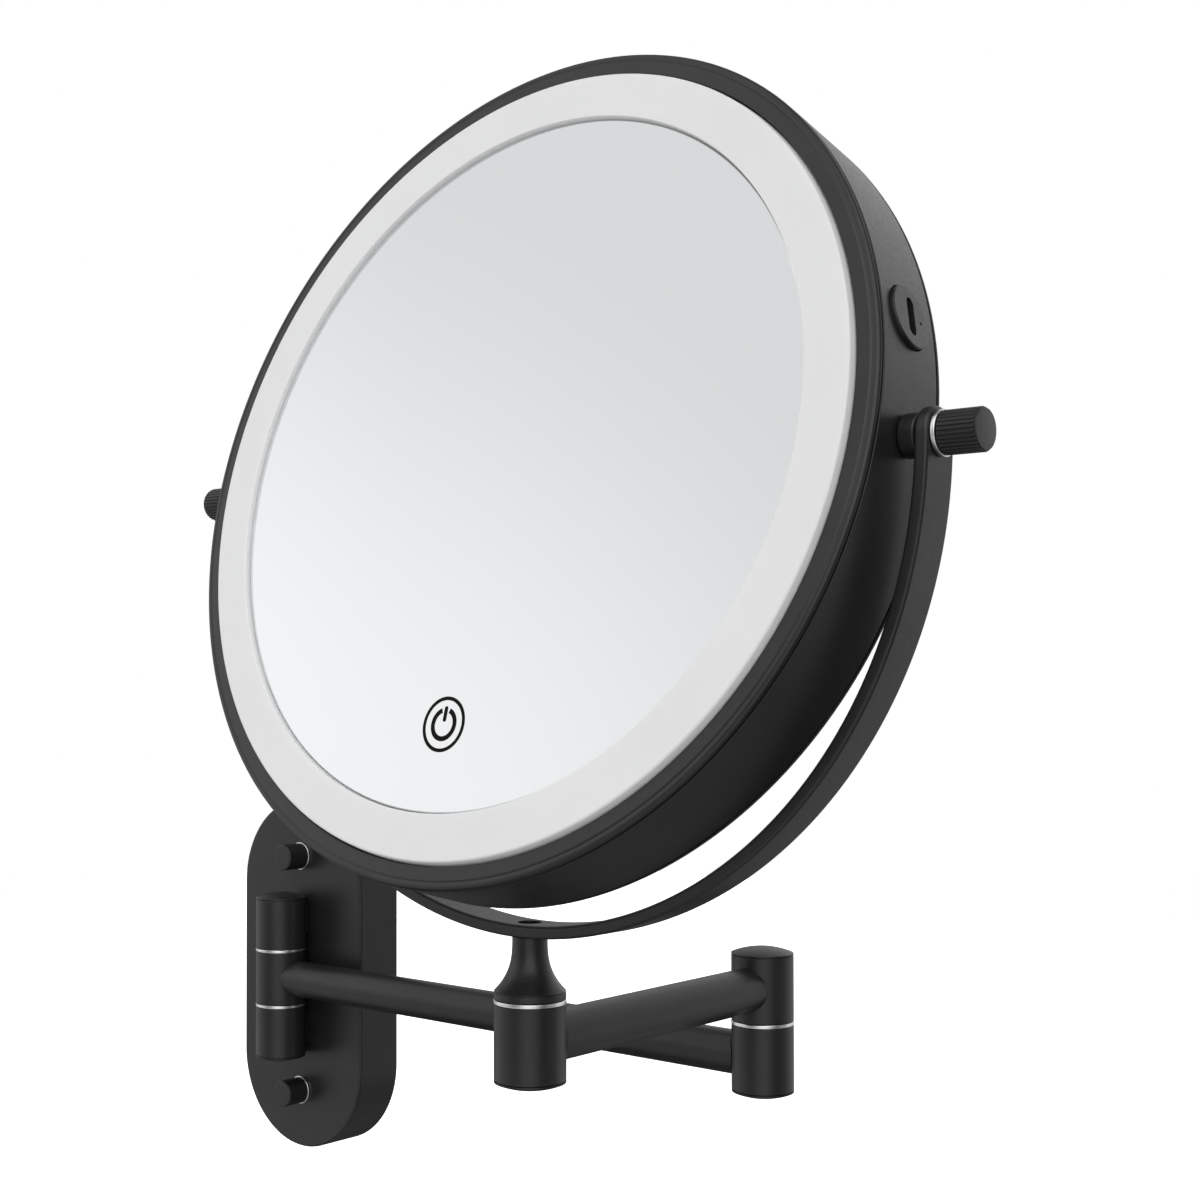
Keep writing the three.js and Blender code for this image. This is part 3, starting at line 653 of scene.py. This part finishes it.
def fixed_knuckle(level):
    """Knuckle with the foot that carries it out from the wall plate."""
    node = "wall_knuckle_" + level
    span = Span(node, WALL_HINGE)
    plate_depth = -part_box("wall_plate")[0].y / MM
    hinge_out = -WALL_POINT.y / MM
    foot_place = out_of_wall_at("knuckle_screw_" + level)
    foot_outline = spread_circle(0, FOOT_HEIGHT - FOOT_WIDTH)
    foot = rod(FOOT_WIDTH / 2, plate_depth + FIT, hinge_out, foot_place, "barrel", foot_outline)
    whole = join(barrel(span.low, span.high, 0, WALL_HINGE), foot)
    pin_hole = rod(PIN_BORE, span.low - THROUGH, span.high + THROUGH, WALL_HINGE)
    screw_hole = rod(SCREW_HOLE, plate_depth - THROUGH, plate_depth + SCREW_DEPTH, foot_place)
    refine(node, cut(whole, pin_hole, screw_hole), "black_paint")


def hinge_ring(node, place):
    refine_ring(node, PIN_BORE, HINGE_RING_EDGE, place, "bright_chrome")


def domed_cap(node, place):
    """Low domed cap with a narrow band and a plug. `place` has +Z out of the barrel's end."""
    span = Span(node, place)
    seat = span.low + CAP_PLUG
    band_top = seat + CAP_BAND
    rise = span.high - band_top
    plug = max(math.hypot(p.x, p.y) for p in span.points if p.z < seat - CAP_PLUG / 2)
    sphere = (span.radius**2 + rise**2) / (2 * rise)
    dome = []
    for step in range(1, DOME_STEPS + 1):
        r = span.radius * (1 - step / DOME_STEPS)
        dome.append((r, band_top + math.sqrt(sphere**2 - r**2) - (sphere - rise), 0))
    corners = [
        (0, span.low, 0),
        (plug, span.low, 0),
        (plug, seat, 0),
        (span.radius, seat, CAP_UNDER_EDGE),
        (span.radius, band_top, CAP_BAND_EDGE),
        *dome,
    ]
    refine(node, turned(rounded(corners), place), "black_paint")


# ---------------------------------------------------------------- arms

TUBE_WALL = 1.2
TUBE_EDGE = 0.22
SADDLE_GAP = 0.12  # between a tube's end and the barrel that it meets


def arm_tube(node, start, end, knuckle):
    """Tube between two barrels, at the level of a knuckle, its ends hollowed to fit round them."""
    level = node_middle(knuckle).z
    along = end - start
    place = axes(Vector((start.x, start.y, level)), along.normalized(), UP)
    length = along.length / MM
    tube = Span(node, pointing_along_x(place))
    saddle = BARREL.radius + SADDLE_GAP
    bore = tube.radius - TUBE_WALL
    arc = [math.pi / 2 * step / FILLET_STEPS for step in range(FILLET_STEPS + 1)]
    edge = [
        (tube.radius - TUBE_EDGE * (1 - math.cos(a)), TUBE_EDGE * (1 - math.sin(a))) for a in arc
    ]
    near = [(bore, 0), *reversed(edge)]
    profile = near + [(r, length - inset) for r, inset in reversed(near)]

    def fit_barrels(x, y, z):
        """Moves a point of either end out onto the barrel that it meets."""
        back = math.sqrt(saddle**2 - y**2)
        return (z + back if z < length / 2 else z - back, y, x)

    refine(node, turned(profile, place, bend=fit_barrels), "black_paint")


# ---------------------------------------------------------------- yoke

POST_BAND = 1.75
POST_GROOVE = 0.3
POST_NECK = 4.4
POST_EDGE = 0.3
NECK_EDGE = 0.2
FLARE_POWER = 3  # the higher it is, the sooner the flare narrows
FLARE_STEPS = 24
SCREW_SINK_RADIUS = 3.05
SCREW_HEAD = 2.6
SCREW_EDGE = 0.3
SCREW_UNDER_EDGE = 0.1
HEX_RADIUS = 1.4
ARCH_THICKNESS = 3.2
ARCH_EDGE = 0.9
ARCH_STATIONS = 160
PIVOT_HOLE = 2.75


def yoke_post():
    """Trumpet-shaped post: a lipped band that flares in to a slim neck."""
    post = Span("yoke_post", HUB)
    screw = Span("yoke_screw", HUB)
    pin = Span("hub_pin", HUB)
    seat = screw.high - SCREW_HEAD - GAP
    band_top = post.low + POST_BAND
    flare_low = band_top + POST_GROOVE
    flare = []
    for step in range(FLARE_STEPS):
        t = step / FLARE_STEPS
        spread = (post.radius - GAP - POST_NECK) * (1 - t) ** FLARE_POWER
        flare.append((POST_NECK + spread, flare_low + (post.high - flare_low) * t, 0))
    corners = [
        (PIN_BORE, post.low, 0),
        (post.radius, post.low, POST_EDGE),
        (post.radius, band_top, POST_EDGE),
        (post.radius - POST_GROOVE, band_top, 0),
        (post.radius - POST_GROOVE, flare_low, 0),
        *flare,
        (POST_NECK, post.high, NECK_EDGE),
        (SCREW_SINK_RADIUS, post.high, 0),
        (SCREW_SINK_RADIUS, seat, 0),
        (SCREW_HOLE, seat, 0),
        (SCREW_HOLE, pin.high + GAP, 0),
        (PIN_BORE, pin.high + GAP, 0),
    ]
    refine("yoke_post", turned(rounded(corners), HUB), "black_paint")


def yoke_screw():
    """Socket screw sunk in the foot of the arch."""
    screw = Span("yoke_screw", HUB)
    shank = SCREW_HOLE - FIT
    corners = [
        (0, screw.low, 0),
        (shank, screw.low, 0),
        (shank, screw.high - SCREW_HEAD, 0),
        (screw.radius, screw.high - SCREW_HEAD, SCREW_UNDER_EDGE),
        (screw.radius, screw.high, SCREW_EDGE),
        (0, screw.high, 0),
    ]
    socket = rod(HEX_RADIUS, screw.high - SCREW_HEAD / 2, screw.high + THROUGH, HUB, "hexagon")
    refine("yoke_screw", cut(turned(rounded(corners), HUB, "small"), socket), "plain_steel")


def yoke_arch():
    """Flat strip with rounded edges and round ends, bent into a half ring between the pivots."""
    low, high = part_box("yoke_arch")
    half_width = (high.y - low.y) / 2 / MM
    outer = (PIVOT_POINT.z - low.z) / MM
    inner = outer - ARCH_THICKNESS
    corners = [
        (0, 0, 0),
        (half_width, 0, ARCH_EDGE),
        (half_width, ARCH_THICKNESS, ARCH_EDGE),
        (0, ARCH_THICKNESS, 0),
    ]
    quarter = inner * math.pi / 2

    def half_ring(x, y, z):
        """Bends a strip lying along X, with the pivots a quarter turn to each side."""
        radius = inner + z
        if abs(x) > quarter:
            return (math.copysign(radius, x), y, abs(x) - quarter)
        return (radius * math.sin(x / inner), y, -radius * math.cos(x / inner))

    outline = long_strip(2 * quarter, ARCH_STATIONS)
    strip = turned(rounded(corners), ARCH, "small", outline, half_ring)
    reach = outer + THROUGH
    pivot_hole = rod(PIVOT_HOLE, -reach, reach, PIVOTS["right"])
    screw_hole = rod(SCREW_SINK_RADIUS, -reach, THROUGH - inner, ARCH)
    refine("yoke_arch", cut(strip, pivot_hole, screw_hole), "black_paint")


# ---------------------------------------------------------------- mirror head

DRUM_EDGE = 0.25
SPIGOT_OUTER = 103.75
SPIGOT_INNER = 101.6
RIM_GROOVE = 0.65  # depth of the groove between the rim and the drum
RIM_DEPTH = 1.35  # from the face to the rim's underside
RIM_GROOVE_EDGE = 0.1
RIM_UNDER_EDGE = 0.2
RIM_ROUND = 1.0
RIM_WIDTH = 1.8  # from the outside in to the middle of the crease
RIM_DROP = 0.1  # of the rim's top below the face
CREASE_DEPTH = 0.24
CREASE_HALF = 0.45  # half of its width
FACE_EDGE = 0.2  # of the crease and of the face's bore
LIGHT_SKIRT = 1.1
LIGHT_ROOF = 1.7
LIGHT_DRAFT = 0.45  # how far the outer side leans in
LIGHT_OUTER_EDGE = 0.6
LIGHT_INNER_EDGE = 0.25
GLASS_EDGE = 0.3
DISH_GLASS = 1.8
DISH_SPHERE = 900.0  # radius of the sphere that the dish is part of
DISH_STEPS = 24
PORT_EDGE = 0.35
PORT_HOLE_START = 3.0  # inwards of the drum's bore
SLOT = (9.2, 2.9)  # length and height
LAMP_RADIUS = 0.4
LAMP_OFFSET = 4.1


def drum_shell():
    """Wall of the head, with holes for the pivots and the charging port."""
    drum = Span("drum_shell", HEAD)
    corners = [
        (drum.bore, drum.low, 0),
        (drum.radius, drum.low, DRUM_EDGE),
        (drum.radius, drum.high, DRUM_EDGE),
        (drum.bore, drum.high, 0),
    ]
    shell = turned(rounded(corners), HEAD, "large")
    reach = drum.radius + THROUGH
    pivot_hole = rod(PIVOT_HOLE, -reach, reach, PIVOTS["right"])
    port_radius = Span("usb_plate", PORT).radius + FIT
    port_hole = rod(port_radius, drum.bore - PORT_HOLE_START, reach, PORT, "barrel")
    refine("drum_shell", cut(shell, pivot_hole, port_hole), "black_paint")


def bezel(node, place):
    """Flange with a rounded rim and a spigot inside the drum. `place` has +Z out of that face."""
    span = Span(node, place)
    drum = Span("drum_shell", place)
    under = span.high - RIM_DEPTH
    step = span.radius - RIM_GROOVE
    crease = span.radius - RIM_WIDTH
    rim_top = span.high - RIM_DROP
    corners = [
        (span.bore, under, 0),
        (SPIGOT_INNER, under, 0),
        (SPIGOT_INNER, span.low, 0),
        (SPIGOT_OUTER, span.low, 0),
        (SPIGOT_OUTER, drum.high + GAP, 0),
        (step, drum.high + GAP, 0),
        (step, under, RIM_GROOVE_EDGE),
        (span.radius, under, RIM_UNDER_EDGE),
        (span.radius, rim_top, RIM_ROUND),
        (crease + CREASE_HALF, rim_top, FACE_EDGE),
        (crease, span.high - CREASE_DEPTH, FACE_EDGE),
        (crease - CREASE_HALF, span.high, FACE_EDGE),
        (span.bore, span.high, FACE_EDGE),
    ]
    refine(node, turned(rounded(corners), place, "large"), "black_paint")


def light_ring():
    """Frosted channel over the lamps, its outer side leaning in a little."""
    light = Span("light_ring", HEAD)
    roof_under = light.high - LIGHT_ROOF
    corners = [
        (light.bore, light.low, 0),
        (light.bore + LIGHT_SKIRT, light.low, 0),
        (light.bore + LIGHT_SKIRT, roof_under, 0),
        (light.radius - LIGHT_SKIRT, roof_under, 0),
        (light.radius - LIGHT_SKIRT, light.low, 0),
        (light.radius, light.low, 0),
        (light.radius - LIGHT_DRAFT, light.high, LIGHT_OUTER_EDGE),
        (light.bore, light.high, LIGHT_INNER_EDGE),
    ]
    refine("light_ring", turned(rounded(corners), HEAD, "large"), "diffuser")


def front_mirror():
    glass = Span("front_mirror", HEAD)
    corners = [
        (0, glass.low, 0),
        (glass.radius, glass.low, 0),
        (glass.radius, glass.high, GLASS_EDGE),
        (0, glass.high, 0),
    ]
    refine("front_mirror", turned(rounded(corners), HEAD, "large"), "mirror_glass")


def rear_mirror():
    """Dished magnifying glass, its hollow side outwards."""
    glass = Span("rear_mirror", HEAD)
    radii = [glass.radius * step / DISH_STEPS for step in range(DISH_STEPS + 1)]
    front = [(r, glass.low + (glass.radius**2 - r**2) / (2 * DISH_SPHERE)) for r in radii]
    back = [(r, z + DISH_GLASS) for r, z in reversed(front)]
    refine("rear_mirror", turned(front + back, HEAD, "large"), "mirror_glass")


def charging_port():
    """Raised disc with the socket's slot and the charge lamp's pinhole."""
    disc = Span("usb_plate", PORT)
    corners = [
        (0, disc.low, 0),
        (disc.radius, disc.low, 0),
        (disc.radius, disc.high, PORT_EDGE),
        (0, disc.high, 0),
    ]
    length, height = SLOT
    slot_outline = spread_circle(0, length - height)
    low, high = disc.low - THROUGH, disc.high + THROUGH
    slot = rod(height / 2, low, high, PORT, "small", slot_outline)
    lamp = rod(LAMP_RADIUS, low, high, shifted(PORT, x=LAMP_OFFSET))
    mesh = cut(turned(rounded(corners), PORT, "barrel"), slot, lamp)
    refine("usb_plate", mesh, "black_paint")


# ---------------------------------------------------------------- touch mark

MARK_BELOW = 67.15  # the glass's middle
MARK_RING = (5.85, 6.75)  # inner and outer radius
MARK_ARC = 3.5
MARK_ARC_LINE = 1.2
MARK_ARC_STEPS = 60
MARK_OPENING = math.radians(20)  # to each side of the top
MARK_BAR = (0.6, 4.4)  # the bar's two ends, over the mark's middle
MARK_BAR_LINE = 1.05
MARK_FILM = (0.01, 0.05)  # underside and top of the ink, over the glass


def printed_line(path, width, place):
    """Thin printed line of even width along a path of (x, y) points."""
    low, high = MARK_FILM
    section = ((1, low), (-1, low), (-1, high), (1, high))
    count = len(section)
    points = []
    for i, (x, y) in enumerate(path):
        before = Vector(path[max(i - 1, 0)])
        after = Vector(path[min(i + 1, len(path) - 1)])
        across = (after - before).normalized().orthogonal() * (width / 2)
        for side, level in section:
            points.append((x + side * across.x, y + side * across.y, level))
    faces = [tuple(range(count)), tuple(range(len(points) - count, len(points)))]
    for i in range(len(path) - 1):
        a, b = i * count, (i + 1) * count
        for j in range(count):
            k = (j + 1) % count
            faces.append((a + j, a + k, b + k, b + j))
    return mesh_of(points, faces, place)


def touch_mark():
    """Ring with an open arc and a bar, printed on the glass over the touch sensor."""
    place = shifted(HEAD, y=-MARK_BELOW, z=Span("front_mirror", HEAD).high)
    start = math.pi / 2 + MARK_OPENING
    sweep = 2 * (math.pi - MARK_OPENING)
    angles = [start + sweep * step / MARK_ARC_STEPS for step in range(MARK_ARC_STEPS + 1)]
    arc = [(MARK_ARC * math.cos(a), MARK_ARC * math.sin(a)) for a in angles]
    bar_low, bar_high = MARK_BAR
    bar_outline = spread_circle(0, bar_high - bar_low - MARK_BAR_LINE)
    bar_place = shifted(place, y=(bar_low + bar_high) / 2)
    marks = {
        "touch_mark_ring": ring(*MARK_RING, *MARK_FILM, 0, place),
        "touch_mark_arc": printed_line(arc, MARK_ARC_LINE, place),
        "touch_mark_bar": rod(MARK_BAR_LINE / 2, *MARK_FILM, bar_place, "small", bar_outline),
    }
    body = frame["nodes"]["front_mirror"]["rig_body"]
    for name, mesh in marks.items():
        add_piece(name, mesh, body, "black_paint", "black_ink")


# ---------------------------------------------------------------- pivots and knobs

SPACER_EDGE = 0.6
KNOB_RIBS = 30
KNOB_GROOVE = 0.32  # depth of the grooves between the ribs
KNOB_PLAIN = 0.35  # length of the end without ribs
KNOB_BORE = 6.2  # depth of the thread's hole
KNOB_CHAMFER = 0.15  # at both ends of the ribs
KNOB_EDGE = 0.12


def pivot_spacer(side):
    node = "pivot_spacer_" + side
    refine_ring(node, PIVOT_HOLE, SPACER_EDGE, PIVOTS[side], "black_paint", "small")


def knob_washer(side):
    node = "knob_washer_" + side
    refine_ring(node, PIVOT_HOLE, WASHER_EDGE, PIVOTS[side], "bright_chrome", "small")


def knob(side):
    """Clamping knob with straight ribs that run out before its plain end."""
    node = "knob_" + side
    span = Span(node, PIVOTS[side])
    bare = span.radius - KNOB_GROOVE
    rib_end = span.high - KNOB_PLAIN
    corners = [
        (0, span.low + KNOB_BORE, 0),
        (PIVOT_HOLE, span.low + KNOB_BORE, 0),
        (PIVOT_HOLE, span.low, 0),
        (bare, span.low, 0),
        (span.radius, span.low + KNOB_CHAMFER, 0),
        (span.radius, rib_end - KNOB_CHAMFER, 0),
        (bare, rib_end, 0),
        (bare, span.high, KNOB_EDGE),
        (0, span.high, 0),
    ]
    outline = ribbed(KNOB_RIBS, KNOB_GROOVE, bare)
    refine(node, turned(rounded(corners), PIVOTS[side], "ribs", outline), "black_paint")


# ---------------------------------------------------------------- all the pieces


def build_mirror():
    finish_kept_nodes()
    wall_plate()
    for level in LEVELS:
        cap_nut(level)
        cap_washer(level)
        fixed_knuckle(level)
        hinge_ring("wall_ring_" + level, WALL_HINGE)
    domed_cap("wall_cap_upper", WALL_HINGE)
    domed_cap("wall_cap_lower", turned_over(WALL_HINGE))

    turning_knuckle("arm_1_wall_knuckle", WALL_HINGE)
    arm_tube("arm_1_tube", WALL_POINT, ELBOW_POINT, "arm_1_wall_knuckle")
    turning_knuckle("arm_1_elbow_knuckle", ELBOW)
    domed_cap("elbow_cap_lower", turned_over(ELBOW))

    hinge_ring("elbow_ring", ELBOW)
    turning_knuckle("arm_2_elbow_knuckle", ELBOW)
    domed_cap("elbow_cap_upper", ELBOW)
    arm_tube("arm_2_tube", ELBOW_POINT, HUB_POINT, "arm_2_elbow_knuckle")
    turning_knuckle("arm_2_hub_knuckle", HUB)
    domed_cap("hub_cap", turned_over(HUB))
    hinge_ring("hub_ring", HUB)

    yoke_post()
    yoke_screw()
    yoke_arch()

    drum_shell()
    bezel("front_bezel", HEAD)
    bezel("rear_bezel", turned_over(HEAD))
    light_ring()
    front_mirror()
    rear_mirror()
    charging_port()
    touch_mark()
    for side in PIVOTS:
        pivot_spacer(side)
        knob_washer(side)
        knob(side)


# ---------------------------------------------------------------- floor, light and camera

FLOOR_LEVEL = -0.8  # in metres, as its size is
FLOOR_HALF = 6.0
WHITE = (1, 1, 1, 1)


def floor():
    """Pale floor well below the object, burnt out to white as the backdrop is."""
    mesh = bpy.data.meshes.new("floor")
    signs = ((-1, -1), (1, -1), (1, 1), (-1, 1))
    corners = [(x * FLOOR_HALF, y * FLOOR_HALF, FLOOR_LEVEL) for x, y in signs]
    mesh.from_pydata(corners, [], [(0, 1, 2, 3)])
    piece = bpy.data.objects.new("floor", mesh)
    bpy.context.scene.collection.objects.link(piece)
    material = bpy.data.materials.new("pale_floor")
    material.use_nodes = True
    shader = material.node_tree.nodes["Principled BSDF"]
    shader.inputs["Base Color"].default_value = WHITE
    shader.inputs["Emission Color"].default_value = WHITE
    shader.inputs["Emission Strength"].default_value = 1.0
    mesh.materials.append(material)
    # The two bounce panels stand for the light that the floor sends up.
    piece.visible_diffuse = False
    piece.visible_glossy = False
    piece.visible_transmission = False
    piece.visible_shadow = False


# Soft panels of light round the object: (heading from +X, elevation, half width, brightness).
# Headings and elevations are in degrees, as seen from the object.
PANELS = {
    "key over the camera": (-48, 41, 50, 1.6),
    "front": (-46, -4, 40, 0.5),
    "bounce from the front floor": (-70, -42, 52, 0.5),
    "left, high": (-138, 41, 50, 0.76),
    "left, low": (-146, -11, 47, 0.5),
    "far left": (177, 5, 45, 0.25),
    "right": (35, 0, 45, 0.25),
    "backdrop": (80, 0, 50, 0.55),
    "backdrop, left": (135, 10, 45, 0.3),
    "rim light behind": (95, 40, 48, 0.55),
    "bounce from the floor behind": (80, -70, 45, 0.18),
}
DARKEST = 0.03  # brightness where no panel shines


def heading(degrees, elevation):
    """Direction as seen from the object."""
    a, e = math.radians(degrees), math.radians(elevation)
    return Vector((math.cos(a) * math.cos(e), math.sin(a) * math.cos(e), math.sin(e)))


def panel_light(nodes, links, direction, panel):
    """Brightness of one panel by direction: full at its middle, nothing past its half width."""
    toward, elevation, half_width, brightness = panel
    facing = nodes.new("ShaderNodeVectorMath")
    facing.operation = "DOT_PRODUCT"
    facing.inputs[1].default_value = heading(toward, elevation)
    links.new(direction, facing.inputs[0])
    ranged = nodes.new("ShaderNodeMapRange")
    ranged.interpolation_type = "SMOOTHSTEP"
    ranged.inputs["From Min"].default_value = math.cos(math.radians(half_width))
    ranged.inputs["To Max"].default_value = brightness
    links.new(facing.outputs["Value"], ranged.inputs["Value"])
    return ranged.outputs["Result"]


def sky():
    """White backdrop for the camera; round it, soft panels that light the object."""
    world = bpy.data.worlds.new("sky")
    bpy.context.scene.world = world
    world.use_nodes = True
    nodes, links = world.node_tree.nodes, world.node_tree.links
    direction = nodes.new("ShaderNodeTexCoord").outputs["Generated"]
    total = nodes.new("ShaderNodeValue").outputs["Value"]
    total.default_value = DARKEST
    for panel in PANELS.values():
        add = nodes.new("ShaderNodeMath")
        links.new(total, add.inputs[0])
        links.new(panel_light(nodes, links, direction, panel), add.inputs[1])
        total = add.outputs["Value"]
    light = nodes["Background"]
    links.new(total, light.inputs["Color"])
    seen = nodes.new("ShaderNodeBackground")
    seen.inputs["Color"].default_value = WHITE
    path = nodes.new("ShaderNodeLightPath")
    mix = nodes.new("ShaderNodeMixShader")
    links.new(path.outputs["Is Camera Ray"], mix.inputs["Fac"])
    links.new(light.outputs["Background"], mix.inputs[1])
    links.new(seen.outputs["Background"], mix.inputs[2])
    links.new(mix.outputs["Shader"], nodes["World Output"].inputs["Surface"])


CAMERA_PLACE = Vector((0.5104, -0.45764, 0.11162))
CAMERA_YAW = 41.845  # degrees to the left of straight at the wall
CAMERA_PITCH = 1.157  # degrees up from level
CAMERA_ROLL = -0.072
CAMERA_LENS = 54.05  # focal length in mm, on a sensor of the next width
CAMERA_SENSOR = 36.0
CAMERA_SHIFT = (0.0534, 0.0280)
CAMERA_NEAR = 0.01  # nearest distance drawn, in metres


def camera():
    """Camera at the viewing angle, just below the middle of the mirror and to its right."""
    data = bpy.data.cameras.new("camera")
    data.lens = CAMERA_LENS
    data.sensor_width = CAMERA_SENSOR
    data.shift_x, data.shift_y = CAMERA_SHIFT
    data.clip_start = CAMERA_NEAR
    holder = bpy.data.objects.new("camera", data)
    turn = (
        Matrix.Rotation(math.radians(CAMERA_YAW), 4, "Z")
        @ Matrix.Rotation(math.radians(90 + CAMERA_PITCH), 4, "X")
        @ Matrix.Rotation(math.radians(CAMERA_ROLL), 4, "Z")
    )
    holder.matrix_world = Matrix.Translation(CAMERA_PLACE) @ turn
    bpy.context.scene.collection.objects.link(holder)
    bpy.context.scene.camera = holder


def colour_management():
    view = bpy.context.scene.view_settings
    view.view_transform = "Standard"
    view.look = "None"


build_mirror()
floor()
sky()
camera()
colour_management()
